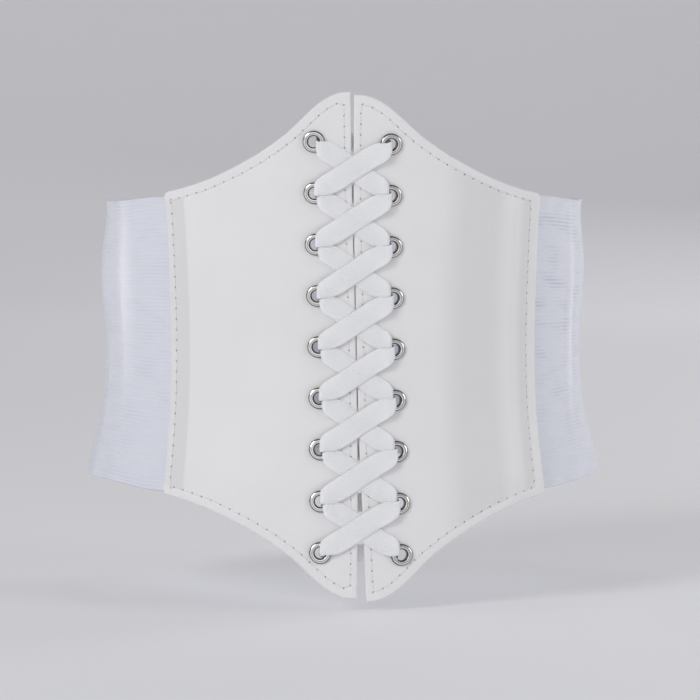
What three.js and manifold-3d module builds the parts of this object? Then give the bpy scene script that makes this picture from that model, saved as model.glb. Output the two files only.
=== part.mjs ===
// A laced corset belt as it sits on a waist. Two stiff front panels of faux leather rise and dip to a
// peak at the centre. One flat lace draws them together through nine pairs of metal eyelets: it crosses
// on the front between rows and runs straight across behind each row. A wide elastic band is sewn behind
// the outer edge of each panel, and a plain closure joins the two bands at the centre of the back.
//
// Lengths are in millimetres. +Z is up and the front of the belt faces -Y. The origin is the centre of
// the waist, at the middle of the belt's height. Left and right are as seen from the front.
import * as THREE from "three";
import Module from "manifold-3d";
import { mergeVertices } from "three/addons/utils/BufferGeometryUtils.js";

const wasm = await Module();
wasm.setup();

// The waist that the belt goes round, as an ellipse.
const WAIST_HALF_WIDTH = 112;
const WAIST_HALF_DEPTH = 85;

// Front panels. Widths are measured along the curve of the belt, from the centre line.
const PANEL_PEAK = 114;
const PANEL_CORNER = 68.5;
const PANEL_HALF_WIDTH = 92;
const PANEL_WAIST_NIP = 3.6;
const PANEL_THICKNESS = 2.2;
const PANEL_CORNER_RADIUS = 2.5;
const GAP_HALF_WIDTH = 2.2;
const CENTRE_LEAN = 2.9;
const PANEL_STEP = 1.2;

// Eyelets.
const EYELET_ROWS = 9;
const EYELET_INSET = 16.6;
const EYELET_TOP_MARGIN = 22.3;
const EYELET_BOTTOM_MARGIN = 20.9;
const EYELET_HOLE_RADIUS = 2.5;
const EYELET_RIM_WIDTH = 2.35;
const EYELET_WALL = 0.5;
const EYELET_FRONT_HEIGHT = 0.8;
const EYELET_BACK_HEIGHT = 0.5;
const EYELET_CROWN_SHARE = 0.45;

// Lace.
const LACE_WIDTH = 9.7;
const LACE_THICKNESS = 0.8;
const LACE_BACK_WIDTH = 8;
const LACE_CLIMB = 3;
const LACE_FAN_SHARE = 0.72;
const LACE_REACH_SHARE = 0.76;

// Elastic band.
const ELASTIC_HALF_HEIGHT = 67;
const ELASTIC_NECKING = 3;
const ELASTIC_NECKING_RUN = 45;
const ELASTIC_THICKNESS = 1.4;
const ELASTIC_TUCK = 12;

// Back closure.
const CLOSURE_HALF_WIDTH = 20;
const CLOSURE_HALF_HEIGHT = 65.5;
const CLOSURE_THICKNESS = 2;
const CLOSURE_CORNER_RADIUS = 4;
const BAND_END_GAP = 3;

// Clearance between pieces that lie on each other, and between two layers of the lace.
const SEAT = 0.3;
const LAYER_GAP = 0.25;

// How finely curved walls and round pieces are divided.
const PANEL_COLUMNS = 15;
const PANEL_STEPS = 12;
const BAND_COLUMNS = 24;
const BAND_STEPS = 10;
const CLOSURE_COLUMNS = 6;
const CORNER_COLUMNS = 2;
const ROUND_SIDES = 12;
const ARC_STEPS = 120;

// The figure that the belt follows. Height is a share of PANEL_PEAK, width and depth are shares of the waist's.
const FIGURE = [
  { height: -1.0, width: 1.14, depth: 1.09 },
  { height: -0.56, width: 1.08, depth: 1.058 },
  { height: -0.42, width: 1.048, depth: 1.036 },
  { height: -0.25, width: 1.012, depth: 1.014 },
  { height: 0.0, width: 1.0, depth: 1.0 },
  { height: 0.27, width: 1.008, depth: 1.003 },
  { height: 0.6, width: 1.0, depth: 1.018 },
  { height: 1.0, width: 1.02, depth: 1.05 },
];

// The panel's upper edge: rise is a share of the height from corner to peak, across a share of the width.
const UPPER_EDGE = [
  { across: 0.0, rise: 1.0 },
  { across: 0.055, rise: 0.992 },
  { across: 0.11, rise: 0.95 },
  { across: 0.165, rise: 0.88 },
  { across: 0.22, rise: 0.785 },
  { across: 0.33, rise: 0.585 },
  { across: 0.49, rise: 0.37 },
  { across: 0.7, rise: 0.165 },
  { across: 0.87, rise: 0.055 },
  { across: 1.0, rise: 0.0 },
];

// The slot between the panels. Height is a share of PANEL_PEAK, opening a share of GAP_HALF_WIDTH, and lean,
// which is how far the pull of the lace has drawn the slot to the right, a share of CENTRE_LEAN.
const SLOT = [
  { height: -1.0, opening: 1.0, lean: 0.33 },
  { height: -0.75, opening: 0.61, lean: 0.22 },
  { height: -0.45, opening: 0.25, lean: 0.0 },
  { height: -0.2, opening: 0.12, lean: -0.14 },
  { height: 0.2, opening: 0.1, lean: -0.46 },
  { height: 0.45, opening: 0.12, lean: -0.74 },
  { height: 0.75, opening: 0.22, lean: -0.92 },
  { height: 1.0, opening: 0.38, lean: -1.0 },
];

// Soft folds of each band at the wearer's sides. Along is a share of the run from panel to closure, height a
// share of ELASTIC_HALF_HEIGHT, and bulge, length and spread are shares of ELASTIC_HALF_HEIGHT too.
const FOLDS = [
  { along: 0.2, height: 0.1, bulge: 0.014, length: 0.12, spread: 0.9 },
  { along: 0.3, height: 0.42, bulge: 0.022, length: 0.3, spread: 0.3 },
  { along: 0.34, height: 0.86, bulge: -0.014, length: 0.35, spread: 0.16 },
  { along: 0.62, height: -0.3, bulge: 0.012, length: 0.4, spread: 0.35 },
];

// A smooth curve through a table's rows, read at one value of its key column.
function readTable(rows, key, column, at) {
  const last = rows.length - 1;
  const clamped = THREE.MathUtils.clamp(at, rows[0][key], rows[last][key]);
  let i = 0;
  while (i < last - 1 && rows[i + 1][key] < clamped) i += 1;
  const slope = (k) => {
    const before = rows[Math.max(k - 1, 0)];
    const after = rows[Math.min(k + 1, last)];
    return (after[column] - before[column]) / (after[key] - before[key]);
  };
  const span = rows[i + 1][key] - rows[i][key];
  const t = (clamped - rows[i][key]) / span;
  const rise = t * t * (3 - 2 * t);
  const start = t * (1 - t) * (1 - t) * span * slope(i);
  const end = t * t * (t - 1) * span * slope(i + 1);
  return THREE.MathUtils.lerp(rows[i][column], rows[i + 1][column], rise) + start + end;
}

// The ellipse at one height, with the length along it from the front centre to each of ARC_STEPS angles.
const rings = new Map();
function ringAt(height) {
  const key = height.toFixed(4);
  if (rings.has(key)) return rings.get(key);
  const share = height / PANEL_PEAK;
  const width = WAIST_HALF_WIDTH * readTable(FIGURE, "height", "width", share);
  const depth = WAIST_HALF_DEPTH * readTable(FIGURE, "height", "depth", share);
  const lengths = [0];
  const step = Math.PI / ARC_STEPS;
  for (let i = 0; i < ARC_STEPS; i += 1) {
    const angle = (i + 0.5) * step;
    lengths.push(lengths[i] + step * Math.hypot(width * Math.cos(angle), depth * Math.sin(angle)));
  }
  const ring = { width, depth, lengths, half: lengths[ARC_STEPS] };
  rings.set(key, ring);
  return ring;
}

// Half the length round the belt at one height: the arc from the front centre to the back centre.
const halfRound = (height) => ringAt(height).half;

// A point of the belt's seat: arc is the length from the front centre, positive to the right.
function seatPoint(arc, height) {
  const { width, depth, lengths, half } = ringAt(height);
  const step = Math.PI / ARC_STEPS;
  const target = Math.abs(arc);
  let i = 0;
  while (i < ARC_STEPS - 1 && lengths[i + 1] < target) i += 1;
  const angle = target > half ? Math.PI + (target - half) / width
    : (i + (target - lengths[i]) / (lengths[i + 1] - lengths[i])) * step;
  return new THREE.Vector3(Math.sign(arc) * width * Math.sin(angle), -depth * Math.cos(angle), height);
}

// The directions at a point of the seat: along the belt, up it, and straight out of it.
const PROBE = 0.5;
function seatFrame(arc, height) {
  const along = seatPoint(arc + PROBE, height).sub(seatPoint(arc - PROBE, height)).normalize();
  const up = seatPoint(arc, height + PROBE).sub(seatPoint(arc, height - PROBE)).normalize();
  const out = new THREE.Vector3().crossVectors(along, up).normalize();
  return { along, up: new THREE.Vector3().crossVectors(out, along), out };
}

// A point that stands off the seat by a distance. The seat is the inner face of the panels.
function beltPoint(arc, height, off) {
  return seatPoint(arc, height).addScaledVector(seatFrame(arc, height).out, off);
}

function geometryOf(points, triangles) {
  const geometry = new THREE.BufferGeometry().setFromPoints(points);
  geometry.setIndex(triangles);
  return geometry;
}

// A wall bent round the belt. place(column, row) gives the arc and height at each crossing of the grid,
// and faces(arc, height) gives how far the wall's inner and outer face stand off the seat there.
function bentWall(columns, rows, place, faces) {
  const points = [];
  for (const side of ["inner", "outer"])
    for (const row of rows)
      for (const column of columns) {
        const { arc, height } = place(column, row);
        points.push(beltPoint(arc, height, faces(arc, height)[side]));
      }
  const wide = columns.length;
  const high = rows.length;
  const at = (i, j, outer) => (outer ? wide * high : 0) + j * wide + i;
  const triangles = [];
  const quad = (a, b, c, d) => triangles.push(a, b, c, a, c, d);
  for (let j = 0; j < high - 1; j += 1)
    for (let i = 0; i < wide - 1; i += 1) {
      quad(at(i, j, true), at(i + 1, j, true), at(i + 1, j + 1, true), at(i, j + 1, true));
      quad(at(i, j + 1, false), at(i + 1, j + 1, false), at(i + 1, j, false), at(i, j, false));
    }
  for (let i = 0; i < wide - 1; i += 1) {
    quad(at(i, 0, false), at(i + 1, 0, false), at(i + 1, 0, true), at(i, 0, true));
    quad(at(i, high - 1, true), at(i + 1, high - 1, true), at(i + 1, high - 1, false), at(i, high - 1, false));
  }
  for (let j = 0; j < high - 1; j += 1) {
    quad(at(0, j, true), at(0, j + 1, true), at(0, j + 1, false), at(0, j, false));
    quad(at(wide - 1, j, false), at(wide - 1, j + 1, false), at(wide - 1, j + 1, true), at(wide - 1, j, true));
  }
  return geometryOf(points, triangles);
}

// Even steps from 0 to 1.
const evenSteps = (count) => Array.from({ length: count + 1 }, (_, i) => i / count);

// Even columns, with a few more in the last stretch, where a corner is round.
function cornerColumns(count, corner) {
  const plain = evenSteps(count).map((share) => share * (1 - corner));
  const roundAt = (share) => 1 - corner * (1 - Math.sin((share * Math.PI) / 2));
  return [...plain, ...evenSteps(CORNER_COLUMNS).slice(1).map(roundAt)];
}

// How much a rounded corner takes off the height, at a distance from the vertical edge.
function cornerDrop(fromEdge, radius) {
  const into = Math.max(radius - fromEdge, 0);
  return radius - Math.sqrt(Math.max(radius * radius - into * into, 0));
}

// Front panels. The right one sits a step lower than the left, as the lace has drawn them.
const gapHalf = (height) => GAP_HALF_WIDTH * readTable(SLOT, "height", "opening", height / PANEL_PEAK);
const slotArc = (height) => CENTRE_LEAN * readTable(SLOT, "height", "lean", height / PANEL_PEAK);
const stepOf = (side) => (-side * PANEL_STEP) / 2;
const panelOuterArc = (height) => {
  const fromWaist = Math.min(Math.abs(height) / PANEL_CORNER, 1);
  return PANEL_HALF_WIDTH - PANEL_WAIST_NIP * (1 - fromWaist * fromWaist);
};

function panelWall(side) {
  const panelTop = (across) => {
    const rise = (PANEL_PEAK - PANEL_CORNER) * readTable(UPPER_EDGE, "across", "rise", across);
    return PANEL_CORNER + rise - cornerDrop((1 - across) * PANEL_HALF_WIDTH, PANEL_CORNER_RADIUS);
  };
  const columns = cornerColumns(PANEL_COLUMNS, PANEL_CORNER_RADIUS / PANEL_HALF_WIDTH);
  const place = (across, up) => {
    const height = panelTop(across) * (2 * up - 1) + stepOf(side);
    const inner = slotArc(height) + side * gapHalf(height);
    return { arc: THREE.MathUtils.lerp(inner, side * panelOuterArc(height), across), height };
  };
  const rows = evenSteps(PANEL_STEPS);
  const ordered = side > 0 ? columns : columns.slice().reverse();
  return bentWall(ordered, rows, place, () => ({ inner: 0, outer: PANEL_THICKNESS }));
}

// Eyelets: where each row lies, and the frame that seats an eyelet in its panel.
const rowPitch = (2 * PANEL_PEAK - EYELET_TOP_MARGIN - EYELET_BOTTOM_MARGIN) / (EYELET_ROWS - 1);
const eyeletHeight = (side, row) => PANEL_PEAK - EYELET_TOP_MARGIN - row * rowPitch + stepOf(side);
function eyeletArc(side, row) {
  const height = eyeletHeight(side, row);
  return slotArc(height) + side * (gapHalf(height) + EYELET_INSET);
}

function eyeletMatrix(side, row) {
  const arc = eyeletArc(side, row);
  const height = eyeletHeight(side, row);
  const { along, up, out } = seatFrame(arc, height);
  return new THREE.Matrix4().makeBasis(along, up, out).setPosition(seatPoint(arc, height));
}

const rimRadius = EYELET_HOLE_RADIUS + EYELET_RIM_WIDTH;
const barrelRadius = EYELET_HOLE_RADIUS + EYELET_WALL;

// A ring turned round the eyelet's own axis: a domed rim in front, a barrel, and a flat rim behind.
function eyeletGeometry() {
  const front = PANEL_THICKNESS + SEAT;
  const back = -SEAT;
  const crown = THREE.MathUtils.lerp(EYELET_HOLE_RADIUS, rimRadius, EYELET_CROWN_SHARE);
  const profile = [
    [EYELET_HOLE_RADIUS, back - EYELET_BACK_HEIGHT],
    [rimRadius - EYELET_WALL, back - EYELET_BACK_HEIGHT],
    [rimRadius - EYELET_WALL, back],
    [barrelRadius, back],
    [barrelRadius, front],
    [rimRadius, front],
    [crown, front + EYELET_FRONT_HEIGHT],
    [EYELET_HOLE_RADIUS, front + EYELET_FRONT_HEIGHT / 3],
    [EYELET_HOLE_RADIUS, back - EYELET_BACK_HEIGHT],
  ];
  const lathe = new THREE.LatheGeometry(profile.map(([r, y]) => new THREE.Vector2(r, y)), ROUND_SIDES);
  return lathe.rotateX(Math.PI / 2);
}

// Solids for cutting.
function solidOf(geometry) {
  const bare = geometry.clone();
  bare.deleteAttribute("normal");
  bare.deleteAttribute("uv");
  const merged = mergeVertices(bare, 1e-4);
  return new wasm.Manifold(new wasm.Mesh({
    numProp: 3,
    vertProperties: merged.attributes.position.array,
    triVerts: new Uint32Array(merged.index.array),
  }));
}

function geometryFrom(solid) {
  const mesh = solid.getMesh();
  const geometry = new THREE.BufferGeometry();
  geometry.setAttribute("position", new THREE.BufferAttribute(new Float32Array(mesh.vertProperties), 3));
  return geometry.setIndex(new THREE.BufferAttribute(new Uint32Array(mesh.triVerts), 1));
}

// A panel is punched for each eyelet, by a cylinder that passes well through both its faces.
function panelGeometry(side) {
  let panel = solidOf(panelWall(side));
  const radius = barrelRadius + SEAT;
  for (let row = 0; row < EYELET_ROWS; row += 1) {
    const punch = new THREE.CylinderGeometry(radius, radius, 2 * rimRadius, ROUND_SIDES).rotateX(Math.PI / 2);
    panel = panel.subtract(solidOf(punch.applyMatrix4(eyeletMatrix(side, row))));
  }
  return geometryFrom(panel);
}

// Lace. Its section is a flat rectangle that stays upright all the way round. Each station of its route gives
// the height of its middle, its half width, and two points on a level cut: the face towards the panel and the
// face away from it. The under strand lies on the panels, and the over strand one layer above it.
const layerStep = LACE_THICKNESS + LAYER_GAP;
const holeClear = EYELET_HOLE_RADIUS * Math.cos(Math.PI / ROUND_SIDES) - LAYER_GAP;

// Both strands share a hole side by side: reach is from the hole's centre towards the slot.
const holeReach = (layer) => LACE_REACH_SHARE * holeClear - layer * layerStep;
const backLevel = (layer) => -2 * SEAT - EYELET_BACK_HEIGHT - layer * layerStep;

// The lace lies on the leather between the eyelets, and climbs over the rim of the eyelet that it runs to.
// Inset is the distance from that eyelet's centre.
function frontLevel(layer, inset) {
  const climb = 1 - THREE.MathUtils.smoothstep(inset, rimRadius, rimRadius + LACE_CLIMB);
  return PANEL_THICKNESS + SEAT + layer * layerStep + climb * (EYELET_FRONT_HEIGHT + SEAT);
}

// The bend where a strand turns into an eyelet, at the level of the layer that it leaves.
function holeBend(side, row, layer, level, outwards) {
  const inner = eyeletArc(side, row) - side * holeReach(layer);
  const corner = Math.max(holeReach(layer), LACE_THICKNESS - holeReach(layer));
  return {
    height: eyeletHeight(side, row),
    half: Math.sqrt(holeClear ** 2 - corner ** 2),
    near: [inner, level],
    far: [inner + side * LACE_THICKNESS, level + outwards * LACE_THICKNESS],
  };
}
const frontBend = (side, row, layer) => holeBend(side, row, layer, frontLevel(layer, 0), 1);
const backBend = (side, row, layer) => holeBend(side, row, layer, backLevel(layer), -1);

// One arm on the front, from the left eyelet of one row to the right eyelet of the next row or the last.
function laceArm(fromRow, toRow, layer) {
  const start = eyeletArc(-1, fromRow);
  const span = eyeletArc(1, toRow) - start;
  const drop = eyeletHeight(1, toRow) - eyeletHeight(-1, fromRow);
  const half = (LACE_WIDTH / 2) * Math.hypot(1, drop / span);
  const station = (along) => {
    const arc = start + along;
    const level = frontLevel(layer, Math.min(along, span - along));
    const height = eyeletHeight(-1, fromRow) + (drop * along) / span;
    return { height, half, near: [arc, level], far: [arc, level + LACE_THICKNESS] };
  };
  const insets = [LACE_FAN_SHARE * rimRadius, rimRadius, rimRadius + LACE_CLIMB / 2, rimRadius + LACE_CLIMB];
  return [
    frontBend(-1, fromRow, layer),
    ...insets.map(station),
    station(span / 2),
    ...insets.map((inset) => station(span - inset)).reverse(),
    frontBend(1, toRow, layer),
  ];
}

// The run behind one row, from the right eyelet back to the left one.
function laceBar(row, fromLayer, toLayer) {
  const station = (share) => {
    const height = THREE.MathUtils.lerp(eyeletHeight(1, row), eyeletHeight(-1, row), share);
    const arc = THREE.MathUtils.lerp(eyeletArc(1, row) - rimRadius, eyeletArc(-1, row) + rimRadius, share);
    const level = THREE.MathUtils.lerp(backLevel(fromLayer), backLevel(toLayer), share);
    return { height, half: LACE_BACK_WIDTH / 2, near: [arc, level], far: [arc, level - LACE_THICKNESS] };
  };
  return [backBend(1, row, fromLayer), station(0), station(0.5), station(1), backBend(-1, row, toLayer)];
}

// The whole lace is one closed loop: down as the under strand, and back up as the over strand.
function laceStations() {
  const last = EYELET_ROWS - 1;
  const stations = [];
  for (let row = 0; row < last; row += 1)
    stations.push(...laceArm(row, row + 1, 0), ...laceBar(row + 1, 0, row + 1 === last ? 1 : 0));
  for (let row = last; row > 0; row -= 1)
    stations.push(...laceArm(row, row - 1, 1), ...laceBar(row - 1, 1, row - 1 === 0 ? 0 : 1));
  return stations;
}

function laceGeometry() {
  const points = [];
  for (const { height, half, near, far } of laceStations())
    points.push(
      beltPoint(near[0], height - half, near[1]),
      beltPoint(near[0], height + half, near[1]),
      beltPoint(far[0], height + half, far[1]),
      beltPoint(far[0], height - half, far[1]),
    );
  const corners = 4;
  const count = points.length / corners;
  const triangles = [];
  for (let i = 0; i < count; i += 1)
    for (let k = 0; k < corners; k += 1) {
      const here = i * corners;
      const next = ((i + 1) % count) * corners;
      const after = (k + 1) % corners;
      triangles.push(here + k, next + after, next + k, here + k, here + after, next + after);
    }
  return geometryOf(points, triangles);
}

// Elastic bands.
function foldAt(along, height) {
  let bulge = 0;
  for (const fold of FOLDS) {
    const run = ((along - fold.along) * halfRound(0)) / (fold.length * ELASTIC_HALF_HEIGHT);
    const rise = (height / ELASTIC_HALF_HEIGHT - fold.height) / fold.spread;
    bulge += fold.bulge * ELASTIC_HALF_HEIGHT * Math.exp(-run * run - rise * rise);
  }
  return bulge;
}

function elasticGeometry(side) {
  const bandStart = (height) => panelOuterArc(height) - ELASTIC_TUCK;
  const bandEnd = (height) => halfRound(height) - BAND_END_GAP / 2;
  const place = (along, up) => {
    const level = ELASTIC_HALF_HEIGHT * (2 * up - 1);
    const arc = THREE.MathUtils.lerp(bandStart(level), bandEnd(level), along);
    const pastPanel = THREE.MathUtils.smoothstep(arc - panelOuterArc(level), 0, ELASTIC_NECKING_RUN);
    return { arc: side * arc, height: level * (1 - (ELASTIC_NECKING * pastPanel) / ELASTIC_HALF_HEIGHT) };
  };
  const faces = (arc, height) => {
    const along = (Math.abs(arc) - bandStart(height)) / (bandEnd(height) - bandStart(height));
    const toPanel = Math.abs(arc) - panelOuterArc(height);
    const toClosure = halfRound(height) - CLOSURE_HALF_WIDTH - Math.abs(arc);
    const free = THREE.MathUtils.smoothstep(Math.min(toPanel, toClosure), 0, ELASTIC_TUCK);
    const outer = free * foldAt(along, height) - SEAT;
    return { inner: outer - ELASTIC_THICKNESS, outer };
  };
  const columns = evenSteps(BAND_COLUMNS);
  const ordered = side > 0 ? columns : columns.slice().reverse();
  return bentWall(ordered, evenSteps(BAND_STEPS), place, faces);
}

// Back closure: one plain strip over the ends of the two bands.
function closureGeometry() {
  const corner = CLOSURE_CORNER_RADIUS / CLOSURE_HALF_WIDTH;
  const half = cornerColumns(CLOSURE_COLUMNS / 2, corner);
  const columns = [...half.slice(1).reverse().map((share) => -share), ...half];
  const place = (across, up) => {
    const drop = cornerDrop((1 - Math.abs(across)) * CLOSURE_HALF_WIDTH, CLOSURE_CORNER_RADIUS);
    const height = (CLOSURE_HALF_HEIGHT - drop) * (2 * up - 1);
    return { arc: halfRound(height) + across * CLOSURE_HALF_WIDTH, height };
  };
  return bentWall(columns, evenSteps(BAND_STEPS), place, () => ({ inner: 0, outer: CLOSURE_THICKNESS }));
}

// Materials.
const leather = new THREE.MeshStandardMaterial({ color: 0xe6e6e4, roughness: 0.5, metalness: 0 });
const metal = new THREE.MeshStandardMaterial({ color: 0xb9b7b4, roughness: 0.22, metalness: 1 });
const cotton = new THREE.MeshStandardMaterial({ color: 0xeceef2, roughness: 0.9, metalness: 0 });
const elastic = new THREE.MeshStandardMaterial({ color: 0xd9dbe8, roughness: 0.85, metalness: 0 });

const belt = new THREE.Group();
function add(name, geometry, material) {
  const mesh = new THREE.Mesh(geometry, material);
  mesh.name = name;
  belt.add(mesh);
  return mesh;
}

for (const [side, word] of [[-1, "left"], [1, "right"]]) {
  add(`front_panel_${word}`, panelGeometry(side), leather);
  add(`elastic_band_${word}`, elasticGeometry(side), elastic);
  for (let row = 0; row < EYELET_ROWS; row += 1)
    add(`eyelet_${word}_${row + 1}`, eyeletGeometry(), metal).applyMatrix4(eyeletMatrix(side, row));
}
add("lace", laceGeometry(), cotton);
add("back_closure", closureGeometry(), leather);

export default belt;
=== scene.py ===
# %% [markdown]
# # A laced corset belt
# This lesson dresses a plain construction model of a corset belt. Two stiff panels of white faux leather
# meet at the front, where a flat lace draws them together through nickel eyelets. Ribbed elastic runs
# round the sides, and a plain strip closes it at the back.
#
# Sewn goods are easiest to understand flat, so every piece is first cut and pressed as a flat pattern,
# and then wrapped round an oval waist. The flat patterns are in millimetres: X is the distance along the
# belt from the centre of the front, Z is the height, and -Y stands out of the belt towards the viewer.

# %% Load the construction model
import math
import bmesh
import bpy
import numpy as np
from mathutils import Matrix, Vector
from mathutils.kdtree import KDTree


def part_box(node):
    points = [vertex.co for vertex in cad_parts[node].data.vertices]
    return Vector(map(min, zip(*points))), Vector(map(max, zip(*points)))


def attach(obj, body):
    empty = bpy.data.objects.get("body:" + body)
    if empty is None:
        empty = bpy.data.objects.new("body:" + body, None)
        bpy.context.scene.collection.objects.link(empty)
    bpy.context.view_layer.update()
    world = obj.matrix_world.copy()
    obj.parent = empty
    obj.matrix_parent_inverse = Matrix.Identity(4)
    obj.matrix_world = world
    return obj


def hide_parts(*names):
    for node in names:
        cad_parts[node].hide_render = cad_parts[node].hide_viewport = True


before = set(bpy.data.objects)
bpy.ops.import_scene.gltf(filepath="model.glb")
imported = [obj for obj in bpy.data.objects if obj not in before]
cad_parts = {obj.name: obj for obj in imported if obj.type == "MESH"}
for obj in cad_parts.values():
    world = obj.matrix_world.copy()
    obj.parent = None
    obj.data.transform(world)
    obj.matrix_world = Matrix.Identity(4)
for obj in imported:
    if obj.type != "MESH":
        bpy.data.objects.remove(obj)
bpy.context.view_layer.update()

# %% [markdown]
# ## The driving sizes
# These are the belt's own sizes, in millimetres, as a pattern maker would list them. The tables hold
# shares of those sizes, so that the oval, an edge or a fold keeps its character when a size changes.

# %% Sizes and tables
MM = 0.001
WAIST_HALF_WIDTH = 112
WAIST_HALF_DEPTH = 85
PANEL_PEAK = 114
PANEL_CORNER = 68.5
PANEL_HALF_WIDTH = 92
PANEL_WAIST_NIP = 3.6
PANEL_THICKNESS = 2.2
PANEL_CORNER_RADIUS = 2.5
GAP_HALF_WIDTH = 2.2
CENTRE_LEAN = 2.9
PANEL_STEP = 1.2
EYELET_ROWS = 9
EYELET_INSET = 16.6
EYELET_TOP_MARGIN = 22.3
EYELET_BOTTOM_MARGIN = 20.9
EYELET_HOLE_RADIUS = 2.5
EYELET_RIM_RADIUS = 4.85
LACE_WIDTH = 9.7
LACE_STEP = 0.8
ELASTIC_HALF_HEIGHT = 67
ELASTIC_NECKING = 3
ELASTIC_NECKING_RUN = 45
ELASTIC_THICKNESS = 1.4
ELASTIC_TUCK = 12
CLOSURE_HALF_WIDTH = 20
CLOSURE_HALF_HEIGHT = 65.5
CLOSURE_THICKNESS = 2
CLOSURE_CORNER_RADIUS = 4
BAND_END_GAP = 3
SEAT = 0.3
SIDES = ((-1, "left"), (1, "right"))

OVAL_FORM = {
    "height": [-1.0, -0.56, -0.42, -0.25, 0.0, 0.27, 0.6, 1.0],
    "width": [1.14, 1.08, 1.048, 1.012, 1.0, 1.008, 1.0, 1.02],
    "depth": [1.09, 1.058, 1.036, 1.014, 1.0, 1.003, 1.018, 1.05],
}
UPPER_EDGE = {
    "across": [0.0, 0.055, 0.11, 0.165, 0.22, 0.33, 0.49, 0.7, 0.87, 1.0],
    "rise": [1.0, 0.992, 0.95, 0.88, 0.785, 0.585, 0.37, 0.165, 0.055, 0.0],
}
SLOT = {
    "height": [-1.0, -0.75, -0.45, -0.2, 0.2, 0.45, 0.75, 1.0],
    "opening": [1.0, 0.61, 0.25, 0.12, 0.1, 0.12, 0.22, 0.38],
    "lean": [0.33, 0.22, 0.0, -0.14, -0.46, -0.74, -0.92, -1.0],
}
FOLDS = {
    "along": [0.2, 0.3, 0.34, 0.62],
    "height": [0.1, 0.42, 0.86, -0.3],
    "bulge": [0.014, 0.022, -0.014, 0.012],
    "length": [0.12, 0.3, 0.35, 0.4],
    "spread": [0.9, 0.3, 0.16, 0.35],
}


def read_table(table, key, column, at):
    """A smooth curve through a table's columns, read at many places at once."""
    keys = np.array(table[key], float)
    values = np.array(table[column], float)
    at = np.clip(at, keys[0], keys[-1])
    before = np.concatenate([[0], np.arange(len(keys) - 1)])
    after = np.concatenate([np.arange(1, len(keys)), [len(keys) - 1]])
    slopes = (values[after] - values[before]) / (keys[after] - keys[before])
    i = np.searchsorted(keys[1:-1], at, side="left")
    span = keys[i + 1] - keys[i]
    t = (at - keys[i]) / span
    rise = t * t * (3 - 2 * t)
    start = t * (1 - t) ** 2 * span * slopes[i]
    end = t * t * (t - 1) * span * slopes[i + 1]
    return values[i] + (values[i + 1] - values[i]) * rise + start + end


def smooth_step(at, low, high):
    """Runs softly from 0 at low to 1 at high."""
    t = np.clip((at - low) / (high - low), 0, 1)
    return t * t * (3 - 2 * t)


# %% [markdown]
# ## Wrapping a flat pattern round the waist
# A belt goes round an oval that is narrower at the waist than above and below it. Blender's Simple
# Deform can bend a strip to a circle, but not to an oval whose size changes with height, so a short
# function does it: it finds the angle on the oval whose arc has the length that the pattern gives, and
# then steps out of the oval by the pattern's own thickness.

# %% Wrap
GAUSS_AT, GAUSS_WEIGHT = np.polynomial.legendre.leggauss(10)
PROBE = 0.5


def oval_at(height):
    """Half width and half depth of the oval at a height."""
    share = height / PANEL_PEAK
    half_width = WAIST_HALF_WIDTH * read_table(OVAL_FORM, "height", "width", share)
    half_depth = WAIST_HALF_DEPTH * read_table(OVAL_FORM, "height", "depth", share)
    return half_width, half_depth


def oval_length(angle, half_width, half_depth):
    """Length of the oval from the centre of the front to an angle."""
    at = angle[..., None] * (GAUSS_AT + 1) / 2
    speed = np.hypot(half_width[..., None] * np.cos(at), half_depth[..., None] * np.sin(at))
    return angle / 2 * (speed * GAUSS_WEIGHT).sum(axis=-1)


def half_round(height):
    """Length from the centre of the front to the centre of the back."""
    height = np.asarray(height, float)
    half_width, half_depth = oval_at(height)
    return oval_length(np.full(height.shape, math.pi), half_width, half_depth)


def seat_points(arc, height):
    """Points on the inner face of the panels, at a length along the belt and a height."""
    half_width, half_depth = oval_at(height)
    target = np.abs(arc)
    angle = target * math.sqrt(2) / np.hypot(half_width, half_depth)
    for _ in range(4):
        error = oval_length(angle, half_width, half_depth) - target
        angle = angle - error / np.hypot(half_width * np.cos(angle), half_depth * np.sin(angle))
    x = np.sign(arc) * half_width * np.sin(angle)
    return np.stack([x, -half_depth * np.cos(angle), height], axis=-1)


def belt_points(arc, height, off):
    """Points that stand off the seat by a distance."""
    along = seat_points(arc + PROBE, height) - seat_points(arc - PROBE, height)
    up = seat_points(arc, height + PROBE) - seat_points(arc, height - PROBE)
    out = np.cross(along, up)
    out /= np.linalg.norm(out, axis=-1, keepdims=True)
    return seat_points(arc, height) + out * np.asarray(off)[..., None]


def pattern_points(mesh):
    """A flat pattern's points as three arrays: arc, height and distance off the seat."""
    flat = np.empty(len(mesh.vertices) * 3)
    mesh.vertices.foreach_get("co", flat)
    flat = flat.reshape(-1, 3)
    return flat[:, 0], flat[:, 2], -flat[:, 1]


def wrap(piece):
    """Bends a flat pattern in millimetres to the belt's own shape in metres."""
    placed = belt_points(*pattern_points(piece.data)) * MM
    piece.data.vertices.foreach_set("co", placed.ravel())
    piece.data.update()
    return piece


# %% [markdown]
# ## Small tools for meshes
# Each piece starts as one flat grid made by a bmesh operator. Its points are then moved to the pattern's
# outline, thickened and pressed. Rounded edges come from pressing the points near the outline, because a
# Bevel modifier would also round every needle hole.

# %% Mesh helpers
def new_object(name, bm):
    """Turns a bmesh into an object at the origin."""
    mesh = bpy.data.meshes.new(name)
    bm.to_mesh(mesh)
    bm.free()
    piece = bpy.data.objects.new(name, mesh)
    bpy.context.scene.collection.objects.link(piece)
    return piece


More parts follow.
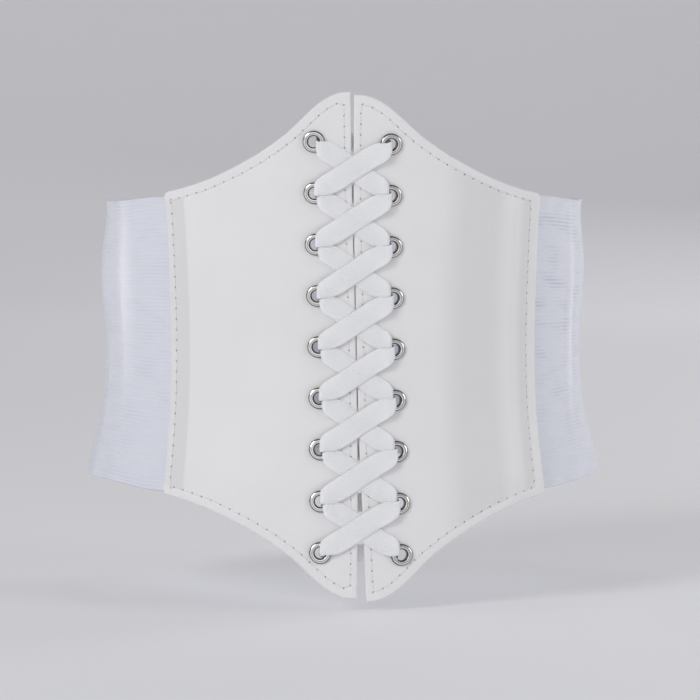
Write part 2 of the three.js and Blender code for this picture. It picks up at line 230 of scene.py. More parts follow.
def flat_grid(columns, rows, place):
    """A grid whose points are placed by a function of two shares, x and up, that gives arc and height."""
    bm = bmesh.new()
    bmesh.ops.create_grid(bm, x_segments=columns, y_segments=rows, size=0.5)
    share = np.array([v.co[:2] for v in bm.verts]) + 0.5
    arc, height = place(share[:, 0], share[:, 1])
    for v, x, z in zip(bm.verts, arc, height):
        v.co = (x, 0, z)
    return bm


def crowd_ends(share, crowd):
    """Moves evenly spaced shares towards both ends, where a pattern has its fine detail."""
    return share - crowd * np.sin(2 * math.pi * share) / (2 * math.pi)


def thicken(bm, thickness):
    """Gives a flat grid a second face, so that the inner one is at 0 and the outer one stands out."""
    for v in bm.verts:
        v.co.y = -thickness
    bm.normal_update()
    bmesh.ops.solidify(bm, geom=bm.faces[:], thickness=thickness)
    lowest = min(-v.co.y for v in bm.verts)
    highest = max(-v.co.y for v in bm.verts)
    assert abs(lowest) < 1e-4 and abs(highest - thickness) < 1e-4, (lowest, highest)
    return bm


def tree_of(points):
    """A search tree over points of a flat pattern, given as rows of arc and height."""
    tree = KDTree(len(points))
    for i, (x, z) in enumerate(points):
        tree.insert((x, z, 0), i)
    tree.balance()
    return tree


def nearest(tree, arc, height):
    """The distance from each place to the nearest point of a tree."""
    return np.array([tree.find((x, z, 0))[2] for x, z in zip(arc, height)])


def lathe(profile, axis, steps, closed, weld):
    """A profile spun once round an axis through the origin."""
    bm = bmesh.new()
    places = [bm.verts.new(point) for point in profile]
    onward = places[1:] + places[:1] if closed else places[1:]
    line = [bm.edges.new(pair) for pair in zip(places, onward)]
    turn = 2 * math.pi
    bmesh.ops.spin(bm, geom=places + line, cent=(0, 0, 0), axis=axis, angle=turn, steps=steps, use_merge=True)
    bmesh.ops.remove_doubles(bm, verts=bm.verts[:], dist=weld)
    bmesh.ops.recalc_face_normals(bm, faces=bm.faces[:])
    return bm


def lay_out(bm, name, place):
    """A UV map that gives each point a place of its own, in millimetres."""
    uv = bm.loops.layers.uv.new(name)
    bm.verts.index_update()
    for face in bm.faces:
        for loop in face.loops:
            loop[uv].uv = place(loop.vert)


def shade(piece, angle):
    """Smooth shading with sharp edges past an angle in degrees."""
    piece.data.shade_smooth()
    piece.data.set_sharp_from_angle(angle=math.radians(angle))


def punch(piece, cutter):
    """Cuts one object out of another for good."""
    cut = piece.modifiers.new("punch", "BOOLEAN")
    cut.operation = "DIFFERENCE"
    cut.solver = "MANIFOLD"
    cut.object = cutter
    result = piece.evaluated_get(bpy.context.evaluated_depsgraph_get())
    mesh = bpy.data.meshes.new_from_object(result)
    piece.modifiers.clear()
    old = piece.data
    piece.data = mesh
    bpy.data.meshes.remove(old)
    bpy.data.objects.remove(cutter)


def finish_piece(piece, materials, nodes):
    """Gives a piece its materials and its body, and hides the nodes that it stands for."""
    piece.data.materials.clear()
    for material in materials:
        piece.data.materials.append(material)
    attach(piece, "root")
    if nodes:
        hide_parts(*nodes)
    print(f"{piece.name}: {len(piece.data.vertices)} points, {len(piece.data.polygons)} faces")
    return piece


# %% [markdown]
# ## Material tools
# A colour picked from a screen is in sRGB, but shader sockets hold linear light, so one function turns
# hex values to linear. One more adds a node with its settings and links, and short ones stand for the
# nodes that every material needs, so that a material reads as a recipe.

# %% Material helpers
def linear(hex_colour):
    """An sRGB hex colour as linear RGBA."""
    parts = [int(hex_colour[i : i + 2], 16) / 255 for i in (1, 3, 5)]
    return [p / 12.92 if p <= 0.04045 else ((p + 0.055) / 1.055) ** 2.4 for p in parts] + [1.0]


def add_node(tree, kind, inputs=None, **settings):
    """Adds a node. Inputs map a socket's name or number to a value, or to another node's output."""
    node = tree.nodes.new(kind)
    for name, value in settings.items():
        setattr(node, name, value)
    for name, value in (inputs or {}).items():
        if isinstance(value, bpy.types.NodeSocket):
            tree.links.new(value, node.inputs[name])
        else:
            node.inputs[name].default_value = value
    return node


def new_material(name, finish):
    """A material. Its finish is a function that builds nodes and gives the shader's inputs."""
    material = bpy.data.materials.new(name)
    material.use_nodes = True
    tree = material.node_tree
    tree.nodes.clear()
    shader = add_node(tree, "ShaderNodeBsdfPrincipled", finish(tree))
    add_node(tree, "ShaderNodeOutputMaterial", {"Surface": shader.outputs["BSDF"]})
    return material


def object_place(tree):
    return add_node(tree, "ShaderNodeTexCoord").outputs["Object"]


def uv_place(tree, name):
    """A piece's own UV map, and its two parts."""
    uv = add_node(tree, "ShaderNodeUVMap", uv_map=name).outputs[0]
    split = add_node(tree, "ShaderNodeSeparateXYZ", {0: uv})
    return uv, split.outputs["X"], split.outputs["Y"]


def attribute(tree, name):
    return add_node(tree, "ShaderNodeAttribute", attribute_name=name).outputs["Fac"]


def maths(tree, operation, *values, clamp=False):
    """One step of arithmetic on numbers and sockets."""
    step = add_node(tree, "ShaderNodeMath", dict(enumerate(values)), operation=operation, use_clamp=clamp)
    return step.outputs[0]


def noise(tree, place, scale, detail):
    inputs = {"Vector": place, "Scale": scale, "Detail": detail}
    return add_node(tree, "ShaderNodeTexNoise", inputs).outputs["Fac"]


def drawn_noise(tree, place, along, up):
    """Noise with a scale of its own in each direction."""
    scaled = add_node(tree, "ShaderNodeVectorMath", {0: place, 1: (along, up, 1)}, operation="MULTIPLY")
    return noise(tree, scaled.outputs[0], 1.0, 2.0)


def mixed_colour(tree, factor, first, second):
    """Two colours mixed by a factor, each given as a hex value or as a socket."""
    first, second = [linear(colour) if isinstance(colour, str) else colour for colour in (first, second)]
    inputs = {"Factor": factor, 6: first, 7: second}
    return add_node(tree, "ShaderNodeMix", inputs, data_type="RGBA").outputs[2]


def ranged(tree, value, low, high, start=0.0, end=1.0):
    """A value from start to end, spread over the range from low to high."""
    inputs = {"Value": value, "From Min": start, "From Max": end, "To Min": low, "To Max": high}
    return add_node(tree, "ShaderNodeMapRange", inputs).outputs[0]


def bumped(tree, height, strength, depth, **more):
    """A normal tilted by a height. The depth is in millimetres."""
    inputs = {"Height": height, "Strength": strength, "Distance": depth * MM}
    if "normal" in more:
        inputs["Normal"] = more["normal"]
    return add_node(tree, "ShaderNodeBump", inputs, invert=more.get("invert", False)).outputs[0]


# %% [markdown]
# ## Faux leather
# The panels are polyurethane faux leather: a knitted backing with a thin coat of soft plastic, pressed
# with a fine pebble grain while it is warm. The coat gives an even, slightly milky white with a satin
# gloss, and the grain only shows where light grazes it. A Voronoi texture gives the pebbles, about
# 0.7 mm across, and slow noise gives the faint hand of the sheet. Over a turned hem and in a dent the
# leather is painted a touch darker, as shade, which the panels say with an attribute of their own. The
# back shows the knit, in a grey that is painted darker than the cloth, as the shade inside the belt.

# %% Faux leather material
GRAIN_MM = 0.7
SHEET_WAVE_MM = 35
TOOTH_MM = 0.6


def faux_leather(tree):
    place = object_place(tree)
    sheet = noise(tree, place, 1 / (SHEET_WAVE_MM * MM), 3.0)
    pores = noise(tree, place, 3 / (GRAIN_MM * MM), 2.0)
    cells = {"Vector": place, "Scale": 1 / (GRAIN_MM * MM), "Smoothness": 0.6}
    pebble = add_node(tree, "ShaderNodeTexVoronoi", cells, feature="SMOOTH_F1").outputs["Distance"]
    body = mixed_colour(tree, sheet, "#E7E6E7", "#EDECED")
    return {
        # Painted shade: the leather is painted darker over the side hems and in their dents.
        "Base Color": mixed_colour(tree, attribute(tree, "painted_hem_shade"), body, "#DEDDDE"),
        "Roughness": ranged(tree, pores, 0.4, 0.56),
        "Specular IOR Level": 0.45,
        "Normal": bumped(tree, sheet, 0.5, 1.2, normal=bumped(tree, pebble, 0.22, 0.08, invert=True)),
    }


def plain(colour, roughness):
    """A dull finish with a fine tooth."""

    def finish(tree):
        tooth = noise(tree, object_place(tree), 1 / (TOOTH_MM * MM), 2.0)
        return {
            "Base Color": linear(colour),
            "Roughness": ranged(tree, tooth, roughness - 0.08, roughness + 0.08),
            "Normal": bumped(tree, tooth, 0.4, 0.15),
        }

    return finish


LEATHER = new_material("faux leather, pressed polyurethane", faux_leather)
# The inside of a needle hole is painted dark, as the shade in the hole.
NEEDLE_HOLE = new_material("inside of a needle hole", plain("#5C5752", 0.9))
CUT_EDGE = new_material("cut edge of the faux leather", plain("#EBE0D6", 0.85))
# The backing is painted a darker grey than the cloth itself, as the shade inside the belt that shows through
# the slot and the eyelets.
BACKING = new_material("knitted backing cloth", plain("#A8A19A", 0.9))


# %% [markdown]
# ## Elastic, lace and thread
# The elastic is knitted: covered rubber cords run round the belt, and a fine filament yarn is knitted
# over them, which makes horizontal ribs. Its optical brightener makes it look bluer than the leather.
# The ribs are in the mesh. In patches the grooves between the ribs are painted darker, as shade, and
# along the crest of a tight fold a pale line is painted as a highlight. Attributes of the bands say where
# both are. The yarn that crosses the ribs is a bump from the piece's own UV map, which is laid out in
# millimetres. The lace is a flat tube woven of soft cotton in a herringbone: two sets of diagonals that
# meet at the middle of its width. Sheen gives both their downy edges, and light spreads a little way
# inside the cotton.

# %% Cloth materials
YARN_MM = 0.9
RIB_PITCH = 1.7
WEAVE_MM = 1.1


def wave_of(tree, value, length):
    """A sine from 0 to 1 over a distance."""
    sine = maths(tree, "SINE", maths(tree, "MULTIPLY", value, 2 * math.pi / length))
    return maths(tree, "MULTIPLY_ADD", sine, 0.5, 0.5)


def knitted_elastic(tree):
    uv, along, up = uv_place(tree, "pattern_mm")
    streaks = maths(tree, "MULTIPLY", drawn_noise(tree, uv, 0.05, 0.6), noise(tree, uv, 1 / 14, 2.0))
    body = mixed_colour(tree, streaks, "#DBDDE7", "#E5E6EF")
    # Painted shade in the rib grooves, in patches.
    patches = maths(tree, "MULTIPLY_ADD", drawn_noise(tree, uv, 0.045, 0.1), 5, -2.35, clamp=True)
    level = maths(tree, "ADD", up, ELASTIC_HALF_HEIGHT + RIB_PITCH / 4)
    lines = maths(tree, "POWER", wave_of(tree, level, RIB_PITCH), 2.0)
    shaded_grooves = maths(tree, "MULTIPLY", maths(tree, "MULTIPLY", lines, patches), attribute(tree, "painted_groove_shade"))
    ribbed = mixed_colour(tree, shaded_grooves, body, "#BEC0CE")
    yarn = wave_of(tree, maths(tree, "ADD", along, up), YARN_MM)
    return {
        # A pale painted highlight along the crest of a fold.
        "Base Color": mixed_colour(tree, attribute(tree, "painted_crest_highlight"), ribbed, "#FAFAFE"),
        "Roughness": 0.72,
        "Sheen Weight": 0.25,
        "Sheen Roughness": 0.4,
        "Normal": bumped(tree, yarn, 0.35, 0.12),
    }


def woven_lace(tree):
    uv, along, up = uv_place(tree, "pattern_mm")
    twill = wave_of(tree, maths(tree, "ADD", along, maths(tree, "ABSOLUTE", up)), WEAVE_MM)
    weave = maths(tree, "MULTIPLY", twill, wave_of(tree, up, WEAVE_MM * 0.8))
    down = noise(tree, uv, 2.2, 3.0)
    return {
        "Base Color": mixed_colour(tree, down, "#EEF0F3", "#F5F6F9"),
        "Roughness": 0.9,
        "Sheen Weight": 0.2,
        "Sheen Roughness": 0.5,
        "Subsurface Weight": 0.9,
        "Subsurface Radius": (1.0, 1.0, 1.0),
        "Subsurface Scale": 1.0 * MM,
        "Normal": bumped(tree, weave, 0.5, 0.16, normal=bumped(tree, down, 0.4, 0.15)),
    }


ELASTIC = new_material("knitted rib elastic", knitted_elastic)
LACE = new_material("woven cotton lace", woven_lace)
THREAD = new_material("spun polyester thread", plain("#E9E9E6", 0.7))


# %% [markdown]
# ## Nickel
# The eyelets are brass tube, spun over into a rim and plated with bright nickel. Nickel is a warm mirror,
# so most of what the eye sees on it is the room: light on the crown of the rim, and dark where the rim
# turns away. That dark is painted into the colour as shade and dark reflection, in both turns and in a
# grey line round the crown, so the colour follows the distance from the eyelet's own axis, which its UV
# map holds in millimetres. A little noise in the roughness stands for handling marks.

# %% Nickel material
# Distances from the axis in mm: both turns of the rim and a grey line round the crown are painted dark, as
# shade and dark reflection.
OUTER_TURN = (4.65, 4.3)
INNER_TURN = (2.8, 3.2)
CROWN_SHADE_LINE = 3.68
CROWN_SHADE_LINE_HALF = 0.3
MARKS_MM = 1.5


def bright_nickel(tree):
    marks = noise(tree, object_place(tree), 1 / (MARKS_MM * MM), 4.0)
    from_axis = uv_place(tree, "axis_mm")[1]
    turns = [ranged(tree, from_axis, 0.0, 1.0, *turn) for turn in (OUTER_TURN, INNER_TURN)]
    from_line = maths(tree, "ABSOLUTE", maths(tree, "SUBTRACT", from_axis, CROWN_SHADE_LINE))
    line = ranged(tree, from_line, 0.35, 1.0, 0.0, CROWN_SHADE_LINE_HALF)
    unshaded_crown = maths(tree, "MULTIPLY", maths(tree, "MULTIPLY", *turns), line)
    return {
        # Dark where shade and dark reflection are painted into the turns and the line on the crown; light
        # elsewhere.
        "Base Color": mixed_colour(tree, unshaded_crown, "#3F3A36", "#F0EEEA"),
        "Metallic": 1.0,
        "Roughness": ranged(tree, marks, 0.1, 0.24),
    }


NICKEL = new_material("bright nickel plate", bright_nickel)


# %% [markdown]
# ## The patterns' outlines
# Each outline is a function from two shares, x from left to right and up from bottom to top, to a place
# on the flat pattern. The front panels follow the same tables as the construction model: an upper edge
# that sweeps to a peak, a slot that the lace has drawn a little to one side, and side edges that curve
# in at the waist.

# %% Outlines
def corner_drop(from_edge, radius):
    """How much a round corner takes off the height, at a distance from the upright edge."""
    into = np.maximum(radius - from_edge, 0)
    return radius - np.sqrt(np.maximum(radius * radius - into * into, 0))


def gap_half(height):
    return GAP_HALF_WIDTH * read_table(SLOT, "height", "opening", height / PANEL_PEAK)


def slot_arc(height):
    return CENTRE_LEAN * read_table(SLOT, "height", "lean", height / PANEL_PEAK)


def panel_outer_arc(height):
    from_waist = np.minimum(np.abs(height) / PANEL_CORNER, 1)
    return PANEL_HALF_WIDTH - PANEL_WAIST_NIP * (1 - from_waist**2)


def panel_place(side):
    def place(x, up):
        across = x if side > 0 else 1 - x
        rise = (PANEL_PEAK - PANEL_CORNER) * read_table(UPPER_EDGE, "across", "rise", across)
        top = PANEL_CORNER + rise - corner_drop((1 - across) * PANEL_HALF_WIDTH, PANEL_CORNER_RADIUS)
        height = top * (2 * up - 1) - side * PANEL_STEP / 2
        inner = slot_arc(height) + side * gap_half(height)
        return inner + (side * panel_outer_arc(height) - inner) * across, height

    return place


def closure_place(x, up):
    across = 2 * x - 1
    drop = corner_drop((1 - np.abs(across)) * CLOSURE_HALF_WIDTH, CLOSURE_CORNER_RADIUS)
    height = (CLOSURE_HALF_HEIGHT - drop) * (2 * up - 1)
    return half_round(height) + across * CLOSURE_HALF_WIDTH, height


def eyelet_place(side, row):
    pitch = (2 * PANEL_PEAK - EYELET_TOP_MARGIN - EYELET_BOTTOM_MARGIN) / (EYELET_ROWS - 1)
    height = PANEL_PEAK - EYELET_TOP_MARGIN - row * pitch - side * PANEL_STEP / 2
    return float(slot_arc(height) + side * (gap_half(height) + EYELET_INSET)), height


# %% [markdown]
# ## Where the stitches go
# The outline is walked round once, and a line is drawn inside it at the presser foot's distance: 4.3 mm
# on the outer edges and 3 mm along the slot. The line is then divided into equal stitches of about
# 4.8 mm. Each division is a needle hole, and each stitch is a short run of thread between two holes.

# %% Stitch line
STITCH_LENGTH = 4.8
EDGE_MARGIN = 4.3
SLOT_MARGIN = 3.0
WALK = 700


def outline_edges(place):
    """The four edges of a pattern as dense lines, anticlockwise: bottom, right, top, left."""
    t = np.linspace(0, 1, WALK)
    zero, one = np.zeros(WALK), np.ones(WALK)
    walks = [(t, zero), (one, t), (1 - t, one), (zero, 1 - t)]
    return [np.stack(place(x, up), axis=-1) for x, up in walks]


def inset_line(edges, margins):
    """A closed line inside the outline, at each edge's own margin."""
    trees = [tree_of(edge) for edge in edges]
    kept = []
    for k, (edge, margin) in enumerate(zip(edges, margins)):
        run = np.gradient(edge, axis=0)
        run /= np.linalg.norm(run, axis=-1, keepdims=True)
        line = edge + margin * np.stack([-run[:, 1], run[:, 0]], axis=-1)
        clear = np.ones(len(line), bool)
        for other, (tree, its_margin) in enumerate(zip(trees, margins)):
            if other != k:
                clear &= nearest(tree, line[:, 0], line[:, 1]) > its_margin
        kept.append(line[clear])
    line = np.concatenate(kept)
    return np.concatenate([line, line[:1]])


def divide(line, length):
    """Equal divisions of a closed line, as near as they come to a length."""
    reach = np.concatenate([[0], np.cumsum(np.linalg.norm(np.diff(line, axis=0), axis=-1))])
    count = round(reach[-1] / length)
    at = np.arange(count) * reach[-1] / count
    return np.stack([np.interp(at, reach, line[:, 0]), np.interp(at, reach, line[:, 1])], axis=-1)


# %% [markdown]
# ## Pressing a leather wall
# A finished panel isn't a flat board. Its edges are turned and round, the thread pulls a shallow groove
# along the stitch line, the strip outside the groove puffs up a little, and each needle hole sinks. The
# end of the elastic behind the panel shows as a soft step, and every eyelet pinches the leather. All of
# these are heights that depend on a distance, so the wall is pressed by moving its points.

# %% Press and punch
EDGE_RADIUS = 0.8
GROOVE_DEPTH = 0.05
GROOVE_WIDTH = 0.9
WELT_HEIGHT = 0.06
WELT_AT = 2
WELT_WIDTH = 1.6
HOLE_RADIUS = 0.5
HOLE_DEPTH = 1.1
EYELET_PUNCH = 3.2


def round_edge(distance, radius):
    """How far a rounded edge falls below the face, at a distance from the outline."""
    into = np.clip(radius - distance, 0, radius)
    return radius - np.sqrt(radius * radius - into * into)


def press_wall(bm, edges, line, thickness, relief):
    """Moves a thick grid's points out of the flat. Relief gives the outer face's own form."""
    places = np.array([v.co for v in bm.verts])
    arc, height = places[:, 0], places[:, 2]
    outer = -places[:, 1] > thickness / 2
    to_edge = nearest(tree_of(np.concatenate(edges)), arc, height)
    to_line = nearest(tree_of(line), arc, height)
    groove = GROOVE_DEPTH * np.exp(-((to_line / GROOVE_WIDTH) ** 2))
    welt = WELT_HEIGHT * np.exp(-(((to_edge - WELT_AT) / WELT_WIDTH) ** 2))
    front = thickness - round_edge(to_edge, EDGE_RADIUS) - groove + welt + relief(arc, height)
    back = round_edge(to_edge, EDGE_RADIUS * 0.8) + 0.3 * groove
    for v, off in zip(bm.verts, np.where(outer, front, back)):
        v.co.y = -off
    return bm


def upright(arc, height, off):
    """Turns a cutter's own Z to stand out of the pattern at a place."""
    return Matrix.Translation((arc, -off, height)) @ Matrix.Rotation(math.pi / 2, 4, "X")


def groove_level(thickness, relief, arc, height):
    """The level of the thread's groove on a pressed face."""
    return thickness - GROOVE_DEPTH + relief(np.array(arc), np.array(height))


def needle_cutter(holes, levels):
    """A thin pin for each needle hole, as one object."""
    bm = bmesh.new()
    for (x, z), level in zip(holes, levels):
        bmesh.ops.create_cone(
            bm,
            segments=8,
            radius1=HOLE_RADIUS * 0.6,
            radius2=HOLE_RADIUS * 1.3,
            depth=2 * HOLE_DEPTH,
            cap_ends=True,
            matrix=upright(x, z, level + 0.2),
        )
    return new_object("needle_cutter", bm)


def eyelet_cutter(places, radius):
    """A punch for each eyelet, as one object."""
    bm = bmesh.new()
    for x, z in places:
        bmesh.ops.create_cone(
            bm, segments=48, radius1=radius, radius2=radius, depth=12, cap_ends=True, matrix=upright(x, z, 0)
        )
    return new_object("eyelet_cutter", bm)


def mark_finishes(piece, holes, thickness, relief):
    """Face by face: 0 is the coated face; 1 the inside of a needle hole, painted dark as shade; 2 the backing
    cloth, painted darker as shade; 3 the cut edge.
    """
    faces = piece.data.polygons
    centre = np.empty(len(faces) * 3)
    normal = np.empty(len(faces) * 3)
    faces.foreach_get("center", centre)
    faces.foreach_get("normal", normal)
    arc, off, height = centre[0::3], -centre[1::3], centre[2::3]
    facing = np.abs(normal[1::3])
    level = groove_level(thickness, relief, arc, height)
    finish = np.where(facing < 0.25, 3, 0)
    finish[(off < level - 0.12) & (nearest(tree_of(holes), arc, height) < HOLE_RADIUS * 1.35)] = 1
    finish[(off < 0.35 * thickness) & (facing > 0.3)] = 2
    piece.data.polygons.foreach_set("material_index", finish)


def leather_wall(name, place, crowd, cells, thickness, margins, relief, eyelets):
    """A flat wall that is pressed and pierced, and the places of its needle holes."""

    def spread(x, up):
        return place(crowd_ends(x, crowd[0]), crowd_ends(up, crowd[1]))

    bm = thicken(flat_grid(*cells, spread), thickness)
    edges = outline_edges(place)
    line = inset_line(edges, margins)
    press_wall(bm, edges, line, thickness, relief)
    wall = new_object(name, bm)
    holes = divide(line, STITCH_LENGTH)
    if eyelets:
        punch(wall, eyelet_cutter(eyelets, EYELET_PUNCH))
    punch(wall, needle_cutter(holes, groove_level(thickness, relief, *holes.T)))
    mark_finishes(wall, holes, thickness, relief)
    return wall, holes


def finish_wall(wall, node):
    wrap(wall)
    shade(wall, 42)
    finish_piece(wall, [LEATHER, NEEDLE_HOLE, BACKING, CUT_EDGE], [node])


# %% [markdown]
# ## Threads
# A lockstitch lies on the leather like a grain of rice and dives into a hole at each end. Each stitch is
# a small sphere, stretched between its two holes and sunk to its waist in the groove. Bmesh makes them
# all in one mesh, which keeps thousands of faces in a single light object.

# %% Stitches
THREAD_HALF_WIDTH = 0.24
THREAD_LIFT = 0.08
HOLE_SHOWS = 0.5


def stitch_run(bm, holes, level_of):
    """Adds one stretched grain of thread between each two neighbouring holes of a closed line."""
    for (x0, z0), (x1, z1) in zip(holes, np.roll(holes, -1, axis=0)):
        middle = Vector(((x0 + x1) / 2, -level_of((x0 + x1) / 2, (z0 + z1) / 2), (z0 + z1) / 2))
        turn = Matrix.Rotation(-math.atan2(z1 - z0, x1 - x0), 4, "Y")
        half = math.hypot(x1 - x0, z1 - z0) / 2 - HOLE_SHOWS
        size = Matrix.Diagonal((half, THREAD_HALF_WIDTH, THREAD_HALF_WIDTH, 1))
        matrix = Matrix.Translation(middle) @ turn @ size @ Matrix.Rotation(math.pi / 2, 4, "Y")
        bmesh.ops.create_uvsphere(bm, u_segments=8, v_segments=7, radius=1, matrix=matrix)


def sew(word, holes, front_level, back_level):
    """The stitching of one piece, with a run of thread on its face and another on its back."""
    bm = bmesh.new()
    stitch_run(bm, holes, front_level)
    stitch_run(bm, holes, back_level)
    stitching = wrap(new_object(f"stitching_{word}", bm))
    shade(stitching, 80)
    finish_piece(stitching, [THREAD], [])
    print(f"stitching_{word}: {len(holes)} stitches")


# %% [markdown]
# ## The front panels
# Now the tools come together. The grid is finer near the outline, where the rounding and the groove are.
# The pins and punches cut real holes, so that the eyelets are open and the needle holes are dark, partly
# because they are deep and partly because their insides are painted dark as shade. The wall is wrapped
# round the waist last.

# %% Front panels
PANEL_CELLS = (110, 200)
PANEL_CROWDING = (0.7, 0.62)
SIDE_HEMS = {
    -1: {"margin": 3.4, "shoulder": 10.8, "far": 16, "rise": 0.1, "valley": 0.6, "swell": 0.05},
    1: {"margin": 5.6, "shoulder": 15.5, "far": 28, "rise": 1.1, "valley": 0.4, "swell": 0.7},
}
# Painted shade over each side hem: distance in from the outer edge in mm, and how much darker the leather is
# painted there.
PAINTED_HEM_SHADES = {
    -1: ([0, 2.8, 3.6, 10.3, 11.3], [0.45, 0.45, 0.9, 0.9, 0]),
    1: ([0, 1, 4.8, 6.4, 9.5, 13, 18, 25, 42, 53], [0.9, 0.1, 0, 0.95, 0.95, 0.05, 0, 0.75, 0.75, 0]),
}
SWELL_AT = 43
SWELL_WIDTH = 12
BORDER_SWELL = 0.3
PINCH_DEPTH = 0.25
PINCH_AT = 3.5
PINCH_WIDTH = 3


def side_hem(hem, inward):
    """The outer face near a side edge: a soft shoulder over the elastic's end, held down by the stitches."""
    beyond = hem["rise"] * smooth_step(inward, hem["far"], hem["shoulder"])
    run = np.clip((inward - hem["margin"]) / (hem["shoulder"] - hem["margin"]), 0, 1)
    held = hem["valley"] + hem["rise"]
    border = BORDER_SWELL * smooth_step(inward, hem["margin"], hem["margin"] * 0.3)
    return beyond - held * (1 - run) + border


def panel_relief(side, eyelets):
    """The soft forms of a panel's outer face."""

    def relief(arc, height):
        along = side * arc
        outer = panel_outer_arc(height)
        step = side_hem(SIDE_HEMS[side], outer - along)
        within = smooth_step(np.abs(height), ELASTIC_HALF_HEIGHT + 6, ELASTIC_HALF_HEIGHT - 9)
        pinch = np.zeros_like(arc)
        for x, z in eyelets:
            from_rim = np.hypot(arc - x, height - z) - PINCH_AT
            pinch += PINCH_DEPTH * np.exp(-((from_rim / PINCH_WIDTH) ** 2))
        swell = SIDE_HEMS[side]["swell"] * np.exp(-(((along - SWELL_AT) / SWELL_WIDTH) ** 2))
        return step * within - pinch + swell * within

    return relief


def painted_hem_shade(side, place, arc, height):
    """Painted shade over a side hem and its dents: how much darker the leather is painted, fading at the
    upper and lower stitch lines.
    """
    outer = panel_outer_arc(height)
    across = side * arc / outer
    x = across if side > 0 else 1 - across
    into = np.minimum(place(x, 1.0)[1] - height, height - place(x, 0.0)[1])
    tone = np.interp(outer - side * arc, *PAINTED_HEM_SHADES[side])
    return tone * smooth_step(into, EDGE_MARGIN - 0.6, EDGE_MARGIN + 0.2)


def build_panel(side, word):
    place = panel_place(side)
    hem = SIDE_HEMS[side]["margin"]
    right, left = (hem, SLOT_MARGIN) if side > 0 else (SLOT_MARGIN, hem)
    margins = [EDGE_MARGIN, right, EDGE_MARGIN, left]
    eyelets = [eyelet_place(side, row) for row in range(EYELET_ROWS)]
    relief = panel_relief(side, eyelets)
    panel, holes = leather_wall(
        f"panel_{word}", place, PANEL_CROWDING, PANEL_CELLS, PANEL_THICKNESS, margins, relief, eyelets
    )
    # The painted shade over the side hems is kept as an attribute of the panel's points.
    tone = painted_hem_shade(side, place, *pattern_points(panel.data)[:2])
    panel.data.attributes.new("painted_hem_shade", "FLOAT", "POINT").data.foreach_set("value", tone)
    finish_wall(panel, f"front_panel_{word}")

    def front_level(x, z):
        return float(groove_level(PANEL_THICKNESS, relief, [x], [z])[0]) + THREAD_LIFT

    def back_level(x, z):
        behind = abs(z) < ELASTIC_HALF_HEIGHT and side * x > panel_outer_arc(z) - ELASTIC_TUCK
        return -SEAT - ELASTIC_THICKNESS if behind else 0.1

    sew(word, holes, front_level, back_level)


for side, word in SIDES:
    build_panel(side, word)


# %% [markdown]
# ## The elastic bands
# Each band is a wall of ribs. Its grid has four rows to a rib, enough for a round crest, and it narrows a
# little past the panel, because elastic necks in when it is pulled. A few shallow folds at the sides and a
# slightly wavy edge keep it from looking like plastic. The tables give the folds of each band, then the
# painted highlight along a fold's crest, and last how much painted shade lies in its rib grooves.

# %% Elastic bands
RIB_DEPTH = 0.15
BAND_COLUMNS = 140
BAND_CROWDING = 1.15
ROWS_PER_RIB = 4
SELVEDGE = 1.6
SELVEDGE_RADIUS = 0.6
EDGE_WAVE = 0.5
EDGE_WAVE_RUN = 3.1
EDGE_WAVE_DEPTH = 5
CREASES = {
    -1: {
        "along": [0.19, 0.1, 0.27, 0.5, 0.78],
        "height": [0.35, -0.1, -0.35, 0.1, -0.1],
        "bulge": [0.018, -0.009, 0.008, 0.01, -0.008],
        "length": [0.045, 0.09, 0.07, 0.08, 0.1],
        "spread": [0.45, 0.9, 0.6, 0.7, 0.6],
    },
    1: {
        "along": [0.182, 0.21, 0.33, 0.34, 0.6, 0.82],
        "height": [0.2, 0.15, 1.0, 0.3, 0.0, -0.1],
        "bulge": [0.018, -0.012, 0.025, -0.02, 0.01, -0.008],
        "length": [0.03, 0.035, 0.2, 0.2, 0.08, 0.1],
        "spread": [0.55, 0.5, 0.35, 0.4, 0.7, 0.6],
    },
}
# A painted highlight: paler colour along the crest of one fold on each band.
CREST_HIGHLIGHTS = {
    -1: {"along": [0.19], "height": [0.42], "bulge": [0.55], "length": [0.1], "spread": [0.5]},
    1: {"along": [0.182], "height": [0.15], "bulge": [0.75], "length": [0.05], "spread": [0.6]},
}
# Painted shade in the rib grooves: even over each band, and stronger in a patch near the right panel.
GROOVE_SHADES = {
    -1: {"along": [0.5], "height": [0], "bulge": [0.27], "length": [20], "spread": [20]},
    1: {
        "along": [0.1, 0.5],
        "height": [0.35, 0],
        "bulge": [0.73, 0.27],
        "length": [1, 20],
        "spread": [0.75, 20],
    },
}


def band_start(height):
    return panel_outer_arc(height) - ELASTIC_TUCK


def band_end(height):
    return half_round(height) - BAND_END_GAP / 2


def band_place(side):
    def place(x, up):
        along = (x if side > 0 else 1 - x) ** BAND_CROWDING
        level = ELASTIC_HALF_HEIGHT * (2 * up - 1)
        arc = band_start(level) + (band_end(level) - band_start(level)) * along
        past = smooth_step(arc - panel_outer_arc(level), 0, ELASTIC_NECKING_RUN)
        return side * arc, level * (1 - ELASTIC_NECKING * past / ELASTIC_HALF_HEIGHT)

    return place


def folds_at(table, along, height):
    """The sum of a table's soft folds."""
    bulge = np.zeros_like(along)
    for at, level, size, length, spread in zip(*table.values()):
        run = (along - at) * float(half_round(0.0)) / (length * ELASTIC_HALF_HEIGHT)
        rise = (height / ELASTIC_HALF_HEIGHT - level) / spread
        bulge += size * ELASTIC_HALF_HEIGHT * np.exp(-run * run - rise * rise)
    return bulge


